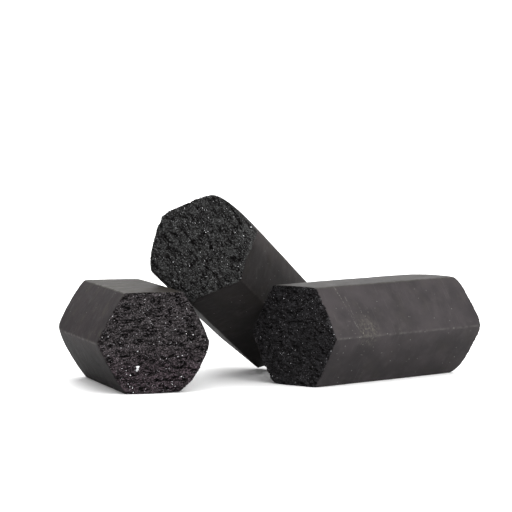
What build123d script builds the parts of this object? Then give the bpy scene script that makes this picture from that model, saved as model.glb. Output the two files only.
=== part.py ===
from build123d import *

import math
import os

# Three sticks of pressed charcoal, lying together as they are put down on a table. Two lie on a flat.
# The third leans: its near end is up on the left stick, and its foot stands on the table beside the right one.
# Units are millimetres, +Z is up, and the origin is on the table, under the middle of the three.

# The pressed section is one regular hexagon, the same for all three sticks.
ACROSS_FLATS = 25.0
ARRIS_RADIUS = 0.5

# Each stick's length over its two broken ends.
LEFT_LENGTH = 46.4
LEANING_LENGTH = 59.7
RIGHT_LENGTH = 54.1

# The way each stick runs from its near end: degrees from +Y, positive towards +X.
LEFT_HEADING = -15.5
LEANING_HEADING = 18.2
RIGHT_HEADING = 43.6

# The leaning stick is rolled about its own length, so that it stands on one corner of its far end.
LEANING_ROLL = 24.8

# Places on the table, across and back from the middle of the left stick's near end.
LEANING_FOOT_ACROSS = 25.7
LEANING_FOOT_BACK = 63.5
RIGHT_NEAR_END_BACK = 19.4

# Sticks that rest on each other stay this far apart, to within the tolerance.
REST_GAP = 0.15
GAP_TOLERANCE = 0.002
SEARCH_STEPS = 60

# The leaning stick comes down from this slope, in halved steps, until it rests.
STEEPEST_SLOPE = 60.0
SLOPE_HALVINGS = 16

# Corners knocked off the ends: (corner, along the stick, across the end face).
# Corners are counted anticlockwise from the right, as seen from the near end.
LEFT_NEAR_CHIPS = [(0, 1.2, 1.6), (5, 1.0, 1.4)]
LEFT_FAR_CHIPS = [(2, 0.8, 1.2), (4, 1.4, 1.8)]
LEANING_NEAR_CHIPS = [(1, 2.0, 3.0), (3, 1.4, 2.2), (4, 2.6, 3.2)]
LEANING_FAR_CHIPS = [(0, 1.6, 2.0), (2, 1.0, 1.6)]
RIGHT_NEAR_CHIPS = [(1, 1.2, 1.0), (4, 1.2, 1.6)]
RIGHT_FAR_CHIPS = [(0, 1.0, 1.2), (5, 1.2, 1.4)]

CORNERS = 6
CORNER_RADIUS = ACROSS_FLATS / math.sqrt(3)


def pressed_bar(length):
    """The bar as it leaves the die: its near end at the origin, its length along +Y, a flat up and a flat down."""
    section = Plane.XZ * RegularPolygon(CORNER_RADIUS, CORNERS)
    bar = extrude(section, amount=-length)
    return fillet(bar.edges().filter_by(Axis.Y), ARRIS_RADIUS)


def section_corner(corner, from_axis=CORNER_RADIUS):
    """The direction of one corner from the stick's axis, as a point at that distance."""
    angle = math.radians(360 * corner / CORNERS)
    return Vector(from_axis * math.cos(angle), 0, from_axis * math.sin(angle))


def knock_off(bar, end, inward, chip):
    """Breaks one corner off an end: a flat facet across the corner of the end face and the arris behind it."""
    corner, along, across = chip
    tip = section_corner(corner)
    arris_point = tip + Vector(0, end + inward * along, 0)
    edge_points = []
    for neighbour in (corner - 1, corner + 1):
        edge = (section_corner(neighbour) - tip).normalized()
        edge_points.append(tip + edge * across + Vector(0, end, 0))
    normal = (edge_points[0] - arris_point).cross(edge_points[1] - arris_point).normalized()
    if normal.dot(tip) < 0:
        normal = -normal
    return split(bar, bisect_by=Plane(origin=arris_point, z_dir=normal), keep=Keep.BOTTOM)


def stick(length, near_chips, far_chips):
    bar = pressed_bar(length)
    for chip in near_chips:
        bar = knock_off(bar, 0, 1, chip)
    for chip in far_chips:
        bar = knock_off(bar, length, -1, chip)
    return bar.solid()


def lying(bar, heading):
    """The bar lies on its lower flat, and its near end stays over the origin."""
    return Pos(0, 0, ACROSS_FLATS / 2) * Rot(Z=-heading) * bar


def leaning(bar, slope):
    """The bar is rolled, sloped and turned, and then lowered until its foot stands in its place on the table."""
    posed = Rot(Z=-LEANING_HEADING) * Rot(X=-slope) * Rot(Y=-LEANING_ROLL) * bar
    foot = min(posed.vertices(), key=lambda vertex: vertex.Z)
    return Pos(LEANING_FOOT_ACROSS - foot.X, LEANING_FOOT_BACK - foot.Y, -posed.bounding_box().min.Z) * posed


def lean_on(bar, support):
    """Lets the near end down until the bar is the rest gap above the stick that carries it."""
    clear, blocked = STEEPEST_SLOPE, 0
    for _ in range(SLOPE_HALVINGS):
        slope = (clear + blocked) / 2
        if leaning(bar, slope).distance_to(support) > REST_GAP:
            clear = slope
        else:
            blocked = slope
    return leaning(bar, clear)


def push_left(moving, others):
    """Slides a stick along the table towards -X until it is the rest gap from the nearest of the others."""
    for _ in range(SEARCH_STEPS):
        spare = min(moving.distance_to(other) for other in others) - REST_GAP
        if spare < GAP_TOLERANCE:
            break
        moving = Pos(-spare, 0, 0) * moving
    return moving


def three_sticks():
    left_stick = lying(stick(LEFT_LENGTH, LEFT_NEAR_CHIPS, LEFT_FAR_CHIPS), LEFT_HEADING)
    leaning_stick = lean_on(stick(LEANING_LENGTH, LEANING_NEAR_CHIPS, LEANING_FAR_CHIPS), left_stick)

    right_stick = lying(stick(RIGHT_LENGTH, RIGHT_NEAR_CHIPS, RIGHT_FAR_CHIPS), RIGHT_HEADING)
    well_aside = LEANING_FOOT_ACROSS + LEANING_LENGTH + RIGHT_LENGTH
    right_stick = Pos(well_aside, RIGHT_NEAR_END_BACK, 0) * right_stick
    right_stick = push_left(right_stick, [left_stick, leaning_stick])
    return {"left_stick": left_stick, "leaning_stick": leaning_stick, "right_stick": right_stick}


def centred(sticks):
    """Moves the set so that the origin is under the middle of its bounding box."""
    middle = Compound(list(sticks.values())).bounding_box().center()
    return {name: Pos(-middle.X, -middle.Y, 0) * shape for name, shape in sticks.items()}


os.makedirs("parts", exist_ok=True)
for node, shape in centred(three_sticks()).items():
    export_step(shape, f"parts/{node}.step")
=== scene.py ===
import math
import random

import bpy
import numpy as np
from mathutils import Matrix, Vector, noise


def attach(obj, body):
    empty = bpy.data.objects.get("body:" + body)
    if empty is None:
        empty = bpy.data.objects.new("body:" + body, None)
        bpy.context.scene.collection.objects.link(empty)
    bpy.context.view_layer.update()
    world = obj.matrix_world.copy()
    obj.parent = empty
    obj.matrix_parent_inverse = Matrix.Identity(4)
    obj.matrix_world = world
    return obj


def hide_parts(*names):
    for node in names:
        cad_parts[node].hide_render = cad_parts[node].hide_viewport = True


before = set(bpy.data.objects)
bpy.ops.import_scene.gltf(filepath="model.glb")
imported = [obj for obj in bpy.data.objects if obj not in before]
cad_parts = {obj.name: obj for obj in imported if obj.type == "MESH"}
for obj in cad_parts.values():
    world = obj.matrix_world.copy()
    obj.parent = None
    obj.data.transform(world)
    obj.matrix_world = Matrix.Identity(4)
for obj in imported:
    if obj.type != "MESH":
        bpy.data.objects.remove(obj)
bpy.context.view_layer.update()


# --------------------------------------------------------------------------------------------------------
# The left stick. Charcoal ground to grains and pressed in a six-sided die, then broken to length by hand.
# The pressed sides come out smooth and satin, and take up brown dust from the box. The two ends stay as
# they broke, all grains and crevices. It lies on one flat, with a broken end towards the front.

MM = 0.001
ACROSS_FLATS = 25.0
HALF_FLATS = ACROSS_FLATS / 2
CORNER_RADIUS = ACROSS_FLATS / math.sqrt(3)
ARRIS_RADIUS = 0.5
GRAIN_ROWS = 92
END_TAPER = 0.006
FAR_ROUGH = 0.35


def corner(k, reach=CORNER_RADIUS):
    """A corner of the section, counted anticlockwise from the right as the near end is seen."""
    return np.array([reach * math.cos(math.radians(60 * k)), 0.0, reach * math.sin(math.radians(60 * k))])


def flat_normal(k):
    """Which way the pressed side between corners k and k + 1 faces."""
    return corner(k + 0.5, 1.0)


def lie_of(node):
    """Reads how a packed stick lies: its near end's middle, with its length along Y, and how long it is."""
    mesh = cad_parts[node].data
    facing = {}
    for face in mesh.polygons:
        key = tuple(round(part, 1) for part in face.normal)
        facing[key] = facing.get(key, Vector()) + face.normal * face.area
    sides = [side.normalized() for side in sorted(facing.values(), key=lambda side: side.length)[-8:]]
    along = min(sides, key=lambda side: sum(abs(side.dot(other)) for other in sides))
    if along.y < 0:
        along = -along
    upper_flat = max((side for side in sides if abs(side.dot(along)) < 0.1), key=lambda side: side.z)
    across = along.cross(upper_flat)
    slant_flat = upper_flat * math.cos(math.radians(60)) + across * math.sin(math.radians(60))
    points = [vertex.co for vertex in mesh.vertices]
    levels = [[point.dot(way) for point in points] for way in (upper_flat, slant_flat, along)]
    up, slant, _ = [(min(level) + max(level)) / 2 for level in levels]
    sideways = (slant - up * slant_flat.dot(upper_flat)) / slant_flat.dot(across)
    place = Matrix((across, along, upper_flat)).transposed().to_4x4()
    place.translation = across * sideways + along * min(levels[2]) + upper_flat * up
    return place, (max(levels[2]) - min(levels[2])) / MM


def end_lattice():
    """The points of one broken end, in rings of a triangular lattice, and the triangles between them."""
    points, faces = [np.zeros(3)], []
    first = lambda ring: 1 + 3 * ring * (ring - 1)
    place = lambda ring, side, step: first(ring) + (side * ring + step) % (6 * ring) if ring else 0
    for ring in range(1, GRAIN_ROWS + 1):
        for side in range(6):
            for step in range(ring):
                points.append((corner(side) * (ring - step) + corner(side + 1) * step) / GRAIN_ROWS)
                outer, after = place(ring, side, step), place(ring, side, step + 1)
                faces.append((outer, after, place(ring - 1, side, step)))
                if step < ring - 1:
                    faces.append((after, place(ring - 1, side, step + 1), place(ring - 1, side, step)))
    return np.array(points), faces


def rows_along(length):
    """Where the rings of points lie along a stick: close together at the broken ends, far apart between."""
    worn_run, long_step = 7.2, 1.9
    fine = [0.15 * n for n in range(1, 9)] + [1.2 + 0.3 * n for n in range(1, 10)] + [4.5, 5.2, 6.0]
    steps = round((length - 2 * worn_run) / long_step)
    between = np.linspace(worn_run, length - worn_run, steps + 1)
    return fine + list(between) + [length - place for place in reversed(fine)]


def bar(length):
    """The pressed bar before wear: its points and faces, the way each point faces, and which are broken."""
    end_points, end_faces = end_lattice()
    count = len(end_points)
    rim = 6 * GRAIN_ROWS
    rounded = []
    for point in end_points[-rim:]:
        side = flat_normal(math.floor(math.degrees(math.atan2(point[2], point[0])) / 60))
        along_side = np.cross(side, (0, 1, 0))
        inner = CORNER_RADIUS / 2 - ARRIS_RADIUS * math.tan(math.radians(30))
        run = min(max(point @ along_side, -inner), inner)
        core = side * (HALF_FLATS - ARRIS_RADIUS) + along_side * run
        out = (point - core) / np.linalg.norm(point - core)
        rounded.append((core + out * ARRIS_RADIUS, out))
    skin = np.array([point for point, _ in rounded])
    skin_out = np.array([out for _, out in rounded])
    end_points[-rim:] = skin
    rows = rows_along(length)
    points = [end_points, end_points + (0, length, 0)] + [skin + (0, row, 0) for row in rows]
    end_out = np.tile((0.0, -1.0, 0.0), (count, 1))
    end_out[-rim:] = (end_out[-rim:] + skin_out) / math.sqrt(2)
    facing = [end_out, end_out * (1, -1, 1)] + [skin_out for _ in rows]
    rings = [count - rim] + [2 * count + rim * n for n in range(len(rows))] + [2 * count - rim]
    faces = list(end_faces) + [(a + count, c + count, b + count) for a, b, c in end_faces]
    for near, far in zip(rings, rings[1:]):
        faces += [(near + n, far + n, far + (n + 1) % rim, near + (n + 1) % rim) for n in range(rim)]
    broken = np.zeros(2 * count + rim * len(rows))
    broken[: 2 * count] = 1.0
    return np.vstack(points), faces, np.vstack(facing), broken


def bumps(points, size, seed):
    """Smooth random bumps from -1 to 1, about `size` mm apart. The size may differ along X, Y and Z."""
    return np.array([noise.noise(place) for place in (points / size + seed).tolist()])


def grains(points, size, seed):
    """How far each point is from the middle of its grain, and 1 down the joints between grains, else 0."""
    joint_width = 0.30
    nearest = np.array([noise.voronoi(place)[0][:2] for place in (points / size + seed).tolist()])
    return nearest[:, 0], np.clip(1 - (nearest[:, 1] - nearest[:, 0]) / joint_width, 0, 1)


def wear_off(stick, origin, way, softness, ragged):
    """Wears away what stands beyond a plane, with a soft edge, and marks what was bared as broken."""
    points, facing, broken = stick
    beyond = (points - origin) @ way + ragged
    share = 1 / (1 + np.exp(-np.clip(beyond / softness, -40, 40)))
    points -= np.outer(softness * np.logaddexp(0, beyond / softness), way)
    facing += np.outer(share, way)
    facing /= np.linalg.norm(facing, axis=1)[:, None]
    np.maximum(broken, share, out=broken)


def wear_end(stick, end, outward, rims, chips, seed):
    """Crumbles the rim of one end side by side, and knocks its corners off.

    A chip is (corner, how far back along the arris, how far round to each neighbouring corner, softness).
    """
    reach, coarse, fine = 9, 0.28, 0.18
    near = np.abs(stick[0][:, 1] - end) < reach
    part = [stick[0][near], stick[1][near], stick[2][near]]
    ragged = coarse * bumps(part[0], 1.8, seed) + fine * bumps(part[0], 0.6, seed + 7)
    if outward > 0:
        ragged *= FAR_ROUGH
    for k, depth in enumerate(rims):
        way = (flat_normal(k) + (0, outward, 0)) / math.sqrt(2)
        edge = flat_normal(k) * HALF_FLATS + (0, end, 0)
        wear_off(part, edge - way * depth, way, 0.06 + 0.4 * depth, ragged)
    for k, back, before, after, softness in chips:
        tip = corner(k) + (0, end, 0)
        arris = corner(k) + (0, end - outward * back, 0)
        first = tip + (corner(k - 1) - corner(k)) * before / CORNER_RADIUS
        last = tip + (corner(k + 1) - corner(k)) * after / CORNER_RADIUS
        way = np.cross(first - arris, last - arris)
        way *= math.copysign(1 / np.linalg.norm(way), way @ corner(k))
        wear_off(part, arris, way, softness, ragged)
    for whole, worn in zip(stick, part):
        whole[near] = worn


def fracture(points, lay, flake, seed):
    """How far in the broken surface lies, in mm, and how much painted shade darkens each point, from 0 to
    1: most down the crevices, less in the undercuts and joints.

    The grains are of the size `flake`, stacked in thin uneven layers at the angle `lay`. Each layer stands
    out at its lower lip and is undercut below, and crevices open between some of the layers.
    """
    flake_depth, grit_depth, joint_depth, lip_depth, crevice_depth = 0.36, 0.40, 0.16, 0.45, 0.80
    grit, layer_height, crevice_width = (0.34, 0.34, 0.30), 0.78, 0.115
    turn = math.radians(lay)
    level = (math.cos(turn), 0, -math.sin(turn))
    upright = (math.sin(turn), 0, math.cos(turn))
    turned = points @ np.array([level, (0, 1, 0), upright])
    bent = turned + np.outer(0.5 * bumps(turned, 2.2, seed + 3), (0, 0, 1))
    round_flake, joint = grains(bent, flake, seed)
    round_grain, crack = grains(bent, grit, seed + 11)
    open_here = np.clip(0.42 + 1.6 * bumps(bent, (2.6, 1.8, 1.1), seed + 29), 0, 1)
    layer = (bent[:, 2] + 0.8 * bumps(bent, (2.4, 1.5, 1.3), seed + 43)) / layer_height % 1
    wavy = 0.40 * bumps(bent, (0.7, 0.6, 0.40), seed + 23)
    lines = np.abs(bumps(bent, (2.2, 1.2, 0.50), seed + 19) + wavy)
    crevice = open_here * np.clip(1.15 - lines / crevice_width, 0, 1)
    undercut = open_here * layer**4
    depth = flake_depth * round_flake**2 + grit_depth * round_grain + joint_depth * crack
    depth = depth + lip_depth * undercut + crevice_depth * crevice
    crevice_shade = 1.3 * crevice + 0.5 * undercut**1.5 + 0.30 * joint**2 + 0.55 * crack
    return depth + 0.30 * bumps(points, 6.5, seed + 31) - 0.40, np.clip(crevice_shade, 0, 1)


def swell_sides(points, swell):
    """Bows each pressed side outwards, most along its middle: the die's sides are a little hollow."""
    side = np.floor(np.degrees(np.arctan2(points[:, 2], points[:, 0])) / 60).astype(int) % 6
    way = np.array([flat_normal(k) for k in range(6)])[side]
    out = np.sum(points * way, axis=1)
    run = np.linalg.norm(points * (1, 0, 1) - way * out[:, None], axis=1) / np.maximum(out, 0.1)
    bow = np.array(swell)[side] * (1 - (run * math.sqrt(3)) ** 2).clip(0, 1) * out / HALF_FLATS
    points += way * bow[:, None]


def broken_bar(length, near_end, far_end, tongue, lay, flake, swell, seed):
    """The finished shape of a stick: pressed, worn at its rims and corners, and grainy where it broke.

    The far end broke flatter. `tongue` is how far it runs on beyond the rest at corner 0.
    """
    points, faces, facing, broken = bar(length)
    stick = [points, facing, broken]
    wear_end(stick, 0.0, -1, *near_end, seed)
    wear_end(stick, length, 1, *far_end, seed + 50)
    rough = broken > 0.02
    crevice_shade = np.zeros(len(points))
    depth, crevice_shade[rough] = fracture(points[rough], lay, flake, seed)
    depth *= np.where(points[rough, 1] > length / 2, FAR_ROUGH, 1.0)
    mostly_inwards = (0.30, 1.0, 0.30)
    points[rough] -= facing[rough] * mostly_inwards * (depth * broken[rough] ** 0.7)[:, None]
    smooth = broken < 0.5
    points[smooth] += facing[smooth] * (0.04 * bumps(points[smooth], 5.0, seed + 41))[:, None]
    swell_sides(points, swell)
    tongue_root = 6
    towards_corner = np.clip(points[:, 0] / CORNER_RADIUS, 0, 1)
    points[:, 1] += tongue * towards_corner**2 * np.clip(1 - (length - points[:, 1]) / tongue_root, 0, 1)
    taper = 1 - END_TAPER * np.abs(points[:, 1] / length * 2 - 1) ** 2.5
    points[:, 0] *= taper
    points[:, 2] *= taper
    return points, faces, broken, crevice_shade


class Shade:
    """One socket of a material. Arithmetic on it adds Math nodes, and `add` adds any other node."""

    def __init__(self, tree, socket=None):
        self.tree, self.socket = tree, socket

    def add(self, kind, inputs, output=0, **settings):
        made = self.tree.nodes.new(kind)
        for name, value in settings.items():
            setattr(made, name, value)
        for name, value in inputs.items():
            if isinstance(value, Shade):
                self.tree.links.new(value.socket, made.inputs[name])
            else:
                made.inputs[name].default_value = value
        return Shade(self.tree, made.outputs[output] if made.outputs else None)

    def maths(self, operation, *values):
        return self.add("ShaderNodeMath", dict(enumerate(values)), operation=operation)

    def __add__(self, other):
        return self.maths("ADD", self, other)

    def __sub__(self, other):
        return self.maths("SUBTRACT", self, other)

    def __rsub__(self, other):
        return self.maths("SUBTRACT", other, self)

    def __mul__(self, other):
        return self.maths("MULTIPLY", self, other)

    __radd__, __rmul__ = __add__, __mul__

    def between(self, low, high):
        """0 below `low`, 1 above `high`, and a smooth rise between."""
        levels = {"Value": self, "From Min": low, "From Max": high}
        return self.add("ShaderNodeMapRange", levels, interpolation_type="SMOOTHSTEP")

    def between_straight(self, low, high):
        """0 below `low`, 1 above `high`, and a straight rise between."""
        return self.add("ShaderNodeMapRange", {"Value": self, "From Min": low, "From Max": high})

    def tint(self, under, over):
        """The colour `under` where this is 0, and `over` where it is 1."""
        colours = {0: self, 6: under, 7: over}
        return self.add("ShaderNodeMix", colours, output=2, data_type="RGBA")


def rgb(red, green, blue):
    return (red, green, blue, 1.0)


def charcoal(name, seed, pale, dust, rubbed_and_highlit, underside_shade, settled, ash, low_ash, scuffs=(), dust_at=None):
    """Pressed charcoal: satin skin with dust, arrises lightened partly by wear and partly as a painted
    highlight, and black grains where it is broken, with painted shade down their crevices.

    `pale` scales the red, green and blue of the skin, and holds painted light and shade for how the stick's
    flats face the lamps besides the skin's own tone. `dust` and `rubbed_and_highlit` are shares:
    `rubbed_and_highlit` lightens the arrises, partly as wear and partly as a painted highlight.
    `underside_shade` is how much painted shade darkens the lower flats. `settled` is the colour of the dust
    on the upper flat. The grains are the colour `ash`, and low down `low_ash`; these also hold painted light
    and shade for how the end faces the lamps. `scuffs` are dotted scratches, each from one point on the stick
    to another, and `dust_at` is where dust has caught.
    """
    material = bpy.data.materials.new(name)
    material.use_nodes = True
    tree = material.node_tree
    tree.nodes.clear()
    start = Shade(tree)
    metres = start.add("ShaderNodeTexCoord", {}, output="Object")
    spot = start.add("ShaderNodeVectorMath", {0: metres, "Scale": 1 / MM}, operation="SCALE")
    height = start.add("ShaderNodeSeparateXYZ", {0: spot}, output="Z")
    elsewhere = (seed, seed * 0.7, seed * 1.3)
    place = start.add("ShaderNodeVectorMath", {0: spot, 1: elsewhere}, operation="ADD")
    broken = start.add("ShaderNodeAttribute", {}, output="Fac", attribute_name="broken")
    crevice_shade = start.add("ShaderNodeAttribute", {}, output="Fac", attribute_name="crevice_shade")
    arris = start.add("ShaderNodeAttribute", {}, output="Fac", attribute_name="arris")

    def cloud(size, detail=4.0, rough=0.55, stretch=None):
        vector = place
        if stretch:
            vector = start.add("ShaderNodeVectorMath", {0: place, 1: stretch}, operation="MULTIPLY")
        inputs = {"Vector": vector, "Scale": 1 / size, "Detail": detail, "Roughness": rough}
        return start.add("ShaderNodeTexNoise", inputs)

    def specks(size, share):
        """Scattered dots about `size` mm across, in that share of the places."""
        dots = {"Vector": place, "Scale": 0.42 / size}
        near = start.add("ShaderNodeTexVoronoi", dots, output="Distance")
        draw = start.add("ShaderNodeTexVoronoi", dots, output="Color")
        chosen = start.add("ShaderNodeSeparateColor", {0: draw})
        return (1 - near.between(0.10, 0.34)) * (1 - chosen.between(share, share + 0.01))

    def scuff(first, last):
        """1 on a dotted scratch between two points of the stick, and 0 away from it."""
        along = Vector(last) - Vector(first)
        out = start.add("ShaderNodeVectorMath", {0: spot, 1: first}, operation="SUBTRACT")
        run = start.add("ShaderNodeVectorMath", {0: out, 1: along}, output="Value", operation="DOT_PRODUCT")
        run = (run * (1 / along.length_squared)).between_straight(0.0, 1.0)
        foot = start.add("ShaderNodeVectorMath", {0: along, "Scale": run}, operation="SCALE")
        off = start.add("ShaderNodeVectorMath", {0: out, 1: foot}, output="Value", operation="DISTANCE")
        return (1 - off.between(0.05, 0.35)) * cloud(0.35, 2.0).between(0.50, 0.62)

    def toned(red, green, blue):
        return rgb(red * pale[0], green * pale[1], blue * pale[2])

    dark_skin = toned(0.0180, 0.0168, 0.0175)
    light_skin = toned(0.028, 0.0255, 0.0265)
    smeared = toned(0.038, 0.0340, 0.0345)
    skin = cloud(9.0, 4.0, 0.5).between(0.34, 0.68).tint(dark_skin, light_skin)
    smear = cloud(4.0, 5.0, 0.6).between(0.48, 0.78)
    skin = (smear * 0.35).tint(skin, smeared)
    dusty = cloud(5.0, 4.0, 0.65).between(0.47, 0.72)
    brown_dust = rgb(0.054, 0.049, 0.041)
    skin = (dusty * dust).tint(skin, brown_dust)
    # Painted shade: the lower flats are darkened towards black, as shade under the stick.
    skin = (height.between(1.0, -5.0) * underside_shade).tint(skin, rgb(0.0, 0.0, 0.0))
    upper = height.between(HALF_FLATS - 0.5, HALF_FLATS - 0.2)
    upper = upper * (0.35 + 0.65 * cloud(6.0, 4.0, 0.6).between(0.35, 0.65))
    skin = upper.tint(skin, rgb(*settled))
    # The arrises are lightened, partly as rubbed wear and partly as a painted highlight along the edges.
    worn = arris.between(0.45, 1.0) * cloud(1.3, 5.0, 0.7).between(0.30, 0.70)
    rubbed_and_highlit_arris = rgb(0.088, 0.084, 0.079)
    skin = (worn * rubbed_and_highlit).tint(skin, rubbed_and_highlit_arris)
    pale_grit = rgb(0.20, 0.20, 0.19)
    skin = (specks(0.20, 0.010) * 0.7).tint(skin, pale_grit)
    scuffed = rgb(0.13, 0.125, 0.115)
    for first, last in scuffs:
        skin = (scuff(first, last) * 0.6).tint(skin, scuffed)
    if dust_at:
        ash_dust, ash_grit = rgb(0.076, 0.071, 0.060), rgb(0.20, 0.19, 0.17)
        off = start.add("ShaderNodeVectorMath", {0: spot, 1: dust_at}, output="Value", operation="DISTANCE")
        caught = (1 - off.between(1.0, 5.5)) * cloud(0.8, 5.0, 0.8).between(0.43, 0.68)
        skin = (caught * 0.8).tint(skin, ash_dust)
        skin = ((1 - off.between(2.0, 9.0)) * specks(0.22, 0.10) * 0.7).tint(skin, ash_grit)
    scratch = cloud(0.8, 2.0, 0.5, stretch=(0.10, 2.6, 0.10)).between(0.66, 0.72)
    skin = (scratch * 0.15).tint(skin, toned(0.070, 0.068, 0.065))

    grain_size = 0.30
    cell = start.add("ShaderNodeTexVoronoi", {"Vector": place, "Scale": 1 / grain_size}, output="Color")
    shade_of = start.add("ShaderNodeSeparateColor", {0: cell})
    grain_top = (height + 5.0 * cloud(5.0, 3.0)).between(4.0, -6.0).tint(rgb(*ash), rgb(*low_ash))
    dark_grain = rgb(*(0.15 * part for part in ash))
    black = shade_of.between(0.0, 0.9).tint(dark_grain, grain_top)
    painted_crevice_shade, painted_glint = rgb(0.0012, 0.0011, 0.0011), rgb(0.22, 0.22, 0.23)
    # Painted shade: the broken grains turn near black down the crevices, undercuts and joints.
    black = crevice_shade.between(0.05, 0.75).tint(black, painted_crevice_shade)
    # Painted glints: pale specks on the broken grains that stand in for lit facets.
    black = (specks(0.16, 0.10) * 0.7).tint(black, painted_glint)

    bared = (broken + (cloud(0.5, 3.0) - 0.5) * 0.5).between(0.35, 0.65)
    rough_skin = 0.61 + 0.14 * cloud(1.6, 4.0) + 0.08 * dusty - 0.08 * smear
    rough_break = 0.34 + 0.45 * cloud(0.3, 2.0)
    relief = bared * (0.10 * cloud(0.22, 3.0, 0.6) + 0.07 * cloud(0.5, 2.0))
    relief = relief + (1 - bared) * (0.012 * cloud(0.35, 4.0, 0.7) - 0.010 * scratch)
    normal = start.add("ShaderNodeBump", {"Height": relief * MM, "Strength": 1.0, "Distance": 1.0})
    surface = {
        "Base Color": bared.tint(skin, black),
        "Roughness": rough_skin * (1 - bared) + rough_break * bared,
        "Normal": normal,
        "Specular IOR Level": 0.08,
        "Specular Tint": rgb(1.0, 0.93, 0.95),
    }
    shader = start.add("ShaderNodeBsdfPrincipled", surface)
    start.add("ShaderNodeOutputMaterial", {"Surface": shader})
    return material


def stick_piece(name, node, near_end, far_end, tongue, lay, flake, swell, seed, finish):
    """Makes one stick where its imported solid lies, in that solid's place, and rides it on the same body."""
    place, length = lie_of(node)
    points, faces, broken, crevice_shade = broken_bar(length, near_end, far_end, tongue, lay, flake, swell, seed)
    mesh = bpy.data.meshes.new(name)
    mesh.from_pydata((points * MM).tolist(), [], faces)
    mesh.polygons.foreach_set("use_smooth", [True] * len(mesh.polygons))
    mesh.attributes.new("broken", "FLOAT", "POINT").data.foreach_set("value", broken)
    mesh.attributes.new("crevice_shade", "FLOAT", "POINT").data.foreach_set("value", crevice_shade)
    turn = np.degrees(np.arctan2(points[:, 2], points[:, 0])) % 60
    from_arris = CORNER_RADIUS * np.radians(np.minimum(turn, 60 - turn))
    rubbed_width = 0.7
    arris = np.exp(-from_arris / rubbed_width)
    mesh.attributes.new("arris", "FLOAT", "POINT").data.foreach_set("value", arris)
    mesh.materials.append(finish)
    piece = bpy.data.objects.new(name, mesh)
    bpy.context.scene.collection.objects.link(piece)
    piece.matrix_world = place
    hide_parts(node)
    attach(piece, node)
    return piece, points[(broken > 0.9) & (crevice_shade < 0.3)]


def mineral(name):
    """Quartz and ash that the grinding left in: pale, glassy flecks, some of them dull."""
    material = bpy.data.materials.new(name)
    material.use_nodes = True
    tree = material.node_tree
    tree.nodes.clear()
    start = Shade(tree)
    place = start.add("ShaderNodeTexCoord", {}, output="Object")
    cloudy = start.add("ShaderNodeTexNoise", {"Vector": place, "Scale": 900.0, "Detail": 3.0})
    surface = {
        "Base Color": cloudy.between(0.35, 0.65).tint(rgb(0.30, 0.30, 0.31), rgb(0.85, 0.86, 0.88)),
        "Roughness": 0.15 + 0.35 * cloudy,
    }
    shader = start.add("ShaderNodeBsdfPrincipled", surface)
    start.add("ShaderNodeOutputMaterial", {"Surface": shader})
    return material


def crystal(centre, size, chance):
    """An irregular eight-faced crystal about `size` mm across: its points and faces."""
    angle = chance.uniform(0, 2 * math.pi)
    turn = Matrix.Rotation(angle, 3, Vector([chance.gauss(0, 1) for _ in range(3)]))
    tips = [Vector([sign * (axis == n) for n in range(3)]) for axis in range(3) for sign in (1, -1)]
    points = [turn @ (tip * size / 2 * chance.uniform(0.6, 1.2)) for tip in tips]
    faces = [(0, 2, 4), (2, 1, 4), (1, 3, 4), (3, 0, 4), (2, 0, 5), (1, 2, 5), (3, 1, 5), (0, 3, 5)]
    return [point + Vector(centre) for point in points], faces


def glint_piece(name, stick, node, tops, count, spread, picked, seed, finish):
    """Sets crystals in a stick's broken ends: `count` by chance, and those `picked` as (across, up, size).

    Those set by chance are from the smallest size to `spread` mm more, and most are small. The picked ones
    go in the near end.
    """
    smallest, near_end_reach = 0.09, 7
    chance = random.Random(seed)
    places = []
    for _ in range(count):
        spot = tops[chance.randrange(len(tops))]
        places.append((spot, smallest + spread * chance.random() ** 4))
    front = tops[tops[:, 1] < near_end_reach]
    for across, up, size in picked:
        nearest = np.argmin((front[:, 0] - across) ** 2 + (front[:, 2] - up) ** 2)
        places.append((front[nearest], size))
    points, faces = [], []
    for centre, size in places:
        more_points, more_faces = crystal(centre, size, chance)
        faces += [tuple(n + len(points) for n in face) for face in more_faces]
        points += more_points
    mesh = bpy.data.meshes.new(name)
    mesh.from_pydata([point * MM for point in points], [], faces)
    mesh.materials.append(finish)
    piece = bpy.data.objects.new(name, mesh)
    bpy.context.scene.collection.objects.link(piece)
    piece.matrix_world = stick.matrix_world
    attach(piece, node)


left_rims = (0.08, 0.06, 0.15, 0.25, 0.12, 0.08)
left_chips = [(0, 1.0, 0.6, 1.8, 0.30), (5, 2.4, 6.4, 3.4, 0.30), (4, 0.9, 1.2, 1.2, 0.20)]
left_far_rims = (0.10, 0.15, 0.10, 0.08, 0.15, 0.10)
left_far_chips = [(2, 0.8, 1.0, 1.4, 0.2), (3, 2.2, 1.2, 2.6, 0.3), (4, 1.4, 2.0, 1.6, 0.3)]
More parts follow.
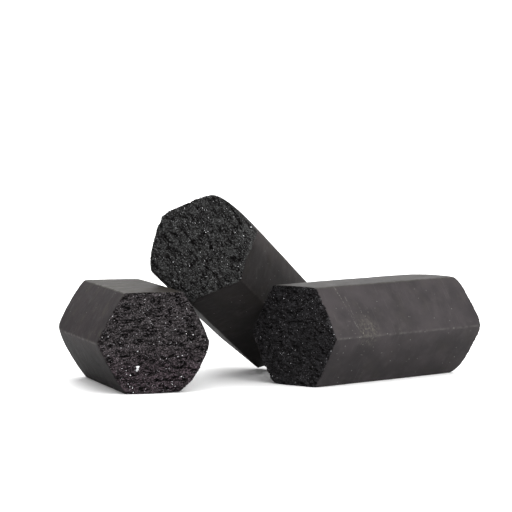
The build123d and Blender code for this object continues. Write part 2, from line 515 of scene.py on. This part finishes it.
# The skin is set darker than on the other sticks, partly its own tone and partly painted shade on the left
# flats turned from the light. The grains are set lighter, partly their own tone and partly painted light on
# the near end that faces the lamp.
left_skin = charcoal(
    "left_charcoal",
    3.0,
    pale=(0.47, 0.35, 0.385),
    dust=0.45,
    rubbed_and_highlit=0.7,
    underside_shade=0.80,
    settled=(0.020, 0.018, 0.013),
    ash=(0.066, 0.0585, 0.0615),
    low_ash=(0.069, 0.051, 0.060),
)
left_stick, left_tops = stick_piece(
    "left_charcoal_stick",
    "left_stick",
    (left_rims, left_chips),
    (left_far_rims, left_far_chips),
    tongue=0.0,
    lay=4.0,
    flake=(0.95, 0.60, 0.40),
    swell=(0.45, 0.05, 0.45, 0.25, 0.0, 0.80),
    seed=1.0,
    finish=left_skin,
)
flecks = mineral("mineral_flecks")
left_picked = [
    (-4.30, -5.6, 0.60),
    (-4.35, -6.1, 0.85),
    (-4.40, -6.35, 0.95),
    (-4.45, -6.7, 0.70),
    (-5.90, -7.6, 0.35),
    (-6.10, -10.6, 0.34),
    (-5.50, -11.0, 0.30),
    (-6.50, -9.9, 0.30),
    (-4.30, -1.8, 0.42),
]
left_glint_count, left_spread = 490, 0.21
glint_piece(
    "left_glints",
    left_stick,
    "left_stick",
    left_tops,
    left_glint_count,
    left_spread,
    left_picked,
    seed=5,
    finish=flecks,
)


# --------------------------------------------------------------------------------------------------------
# The leaning stick. The same pressed bar, standing on one corner of its far end, with its near end up on
# the left stick. Its upper corner and lower rim are knocked round, and its grains lie in slanting bands.

leaning_rims = (0.08, 0.25, 0.30, 0.40, 0.40, 0.08)
leaning_chips = [
    (0, 5.0, 9.0, 7.0, 0.50),
    (1, 1.8, 2.0, 3.3, 0.12),
    (2, 1.9, 2.4, 4.4, 0.20),
    (3, 1.6, 1.6, 2.0, 0.30),
    (4, 2.4, 2.6, 2.8, 0.50),
]
leaning_far_rims = (0.15, 0.10, 0.10, 0.12, 0.08, 0.10)
leaning_far_chips = [(0, 1.6, 2.2, 1.8, 0.3), (2, 1.0, 1.4, 1.6, 0.2)]
# The skin and grain tones hold painted light and shade for how this stick faces the lamps, besides its own
# tone.
leaning_skin = charcoal(
    "leaning_charcoal",
    17.0,
    pale=(1.12, 1.06, 1.02),
    dust=0.45,
    rubbed_and_highlit=0.15,
    underside_shade=0.70,
    settled=(0.035, 0.033, 0.026),
    ash=(0.051, 0.0525, 0.0520),
    low_ash=(0.051, 0.0525, 0.0520),
)
leaning_stick, leaning_tops = stick_piece(
    "leaning_charcoal_stick",
    "leaning_stick",
    (leaning_rims, leaning_chips),
    (leaning_far_rims, leaning_far_chips),
    tongue=0.0,
    lay=-68.0,
    flake=(1.00, 0.60, 0.42),
    swell=(0.80, 0.10, 0.40, 0.0, 0.10, 0.35),
    seed=101.0,
    finish=leaning_skin,
)
leaning_picked = [
    (2.4, 2.9, 0.30),
    (3.2, 2.8, 0.28),
    (13.4, 0.7, 0.55),
    (-3.7, -3.7, 0.30),
    (-7.7, -1.0, 0.32),
]
leaning_glint_count, leaning_spread = 420, 0.17
glint_piece(
    "leaning_glints",
    leaning_stick,
    "leaning_stick",
    leaning_tops,
    leaning_glint_count,
    leaning_spread,
    leaning_picked,
    seed=105,
    finish=flecks,
)


# --------------------------------------------------------------------------------------------------------
# The right stick. The same bar again, lying on one flat with its near end turned to the left. Its grains
# are finer, and blacker partly in their own tone and partly as painted shade on an end turned from the
# light. Its far corners are worn round. Its skin is scuffed and dusty, and paler partly in its own tone and
# partly as painted light on flats that face the lamp.

right_rims = (0.30, 0.08, 0.10, 0.10, 0.12, 0.22)
right_chips = [(4, 1.1, 1.3, 1.5, 0.25), (1, 0.6, 0.6, 0.6, 0.15)]
right_far_rims = (0.02, 0.04, 0.06, 0.06, 0.04, 0.02)
right_far_chips = [
    (0, 0.8, 1.1, 1.1, 0.30),
    (1, 1.1, 1.5, 1.5, 0.35),
    (2, 0.8, 1.2, 1.4, 0.25),
    (5, 1.6, 2.0, 2.0, 0.40),
]
right_scuffs = [
    ((7.3, 6.9, 12.4), (12.9, 9.1, 2.7)),
    ((8.8, 9.2, 9.8), (13.3, 9.4, 2.0)),
    ((9.8, 12.5, 8.0), (11.5, 12.9, 5.0)),
]
# The grains are set the darkest of the three, partly their own tone and partly painted shade on the near end
# turned from the light. The skin is set the palest, partly its own tone and partly painted light on the flats
# that face the lamp.
right_skin = charcoal(
    "right_charcoal",
    29.0,
    pale=(1.20, 1.16, 1.17),
    dust=0.15,
    rubbed_and_highlit=0.38,
    underside_shade=0.28,
    settled=(0.030, 0.028, 0.026),
    ash=(0.0275, 0.0270, 0.0290),
    low_ash=(0.0275, 0.0270, 0.0290),
    scuffs=right_scuffs,
    dust_at=(13.6, 13.0, 1.4),
)
right_stick, right_tops = stick_piece(
    "right_charcoal_stick",
    "right_stick",
    (right_rims, right_chips),
    (right_far_rims, right_far_chips),
    tongue=2.3,
    lay=-20.0,
    flake=(0.62, 0.60, 0.42),
    swell=(0.25, 0.10, 0.25, 0.25, 0.0, 0.25),
    seed=201.0,
    finish=right_skin,
)
right_picked = [(13.2, 3.3, 0.32), (13.5, 1.2, 0.28), (12.6, -3.0, 0.25)]
right_glint_count, right_spread = 150, 0.18
glint_piece(
    "right_glints",
    right_stick,
    "right_stick",
    right_tops,
    right_glint_count,
    right_spread,
    right_picked,
    seed=205,
    finish=flecks,
)


# --------------------------------------------------------------------------------------------------------
# The table, the light and the camera. A white table in a white room, with a large soft light in front and
# a smaller one behind. The room is brightest up and to the right, so the left faces are the darkest.

floor_mesh = bpy.data.meshes.new("table")
floor_mesh.from_pydata([(-4, -2, 0), (4, -2, 0), (4, 6, 0), (-4, 6, 0)], [], [(0, 1, 2, 3)])
table = bpy.data.objects.new("table", floor_mesh)
bpy.context.scene.collection.objects.link(table)
white = bpy.data.materials.new("white_table")
white.use_nodes = True
white.node_tree.nodes.clear()
board = Shade(white.node_tree)
paint = {"Base Color": rgb(0.93, 0.93, 0.93), "Roughness": 0.6, "Specular IOR Level": 0.2}
board.add("ShaderNodeOutputMaterial", {"Surface": board.add("ShaderNodeBsdfPrincipled", paint)})
floor_mesh.materials.append(white)

room = bpy.data.worlds.new("white_room")
room.use_nodes = True
room.node_tree.nodes.clear()
air = Shade(room.node_tree)
towards = air.add("ShaderNodeTexCoord", {}, output="Generated")


def glow(way, low, high):
    """How bright the room's wall is towards `way`, from 0 to 1."""
    facing = {0: towards, 1: way}
    lined_up = air.add("ShaderNodeVectorMath", facing, output="Value", operation="DOT_PRODUCT")
    return lined_up.between(low, high)


upper_right = glow((0.50, -0.50, 0.70), -0.2, 0.9)
far_wall = glow((0.0, 1.0, 0.0), 0.80, 0.98)
brightness = 0.35 + 2.0 * upper_right + 0.9 * far_wall
backdrop = air.add("ShaderNodeBackground", {"Color": rgb(1, 1, 1), "Strength": brightness})
air.add("ShaderNodeOutputWorld", {"Surface": backdrop})
bpy.context.scene.world = room
bpy.context.scene.view_settings.view_transform = "Standard"


def soft_light(name, at, size, power):
    """A square studio light that faces the middle of the sticks."""
    middle = Vector((0, 0, 0.015))
    lamp = bpy.data.lights.new(name, "AREA")
    lamp.size, lamp.energy = size, power
    light = bpy.data.objects.new(name, lamp)
    light.location = at
    light.rotation_euler = (middle - Vector(at)).to_track_quat("-Z", "Y").to_euler()
    bpy.context.scene.collection.objects.link(light)


soft_light("main_light", (0.2, -1.0, 0.8), 1.3, 12.0)
soft_light("back_light", (-0.25, 1.2, 0.7), 1.0, 10.0)

lens = bpy.data.cameras.new("camera")
lens.sensor_width = 36.0
lens.lens = 252.71
lens.clip_start, lens.clip_end = 0.05, 50.0
camera = bpy.data.objects.new("camera", lens)
camera.location = (-0.002816, -0.911539, 0.09265)
camera.rotation_euler = (math.radians(90 - 3.8385), 0, 0)
bpy.context.scene.collection.objects.link(camera)
bpy.context.scene.camera = camera

bpy.context.view_layer.update()
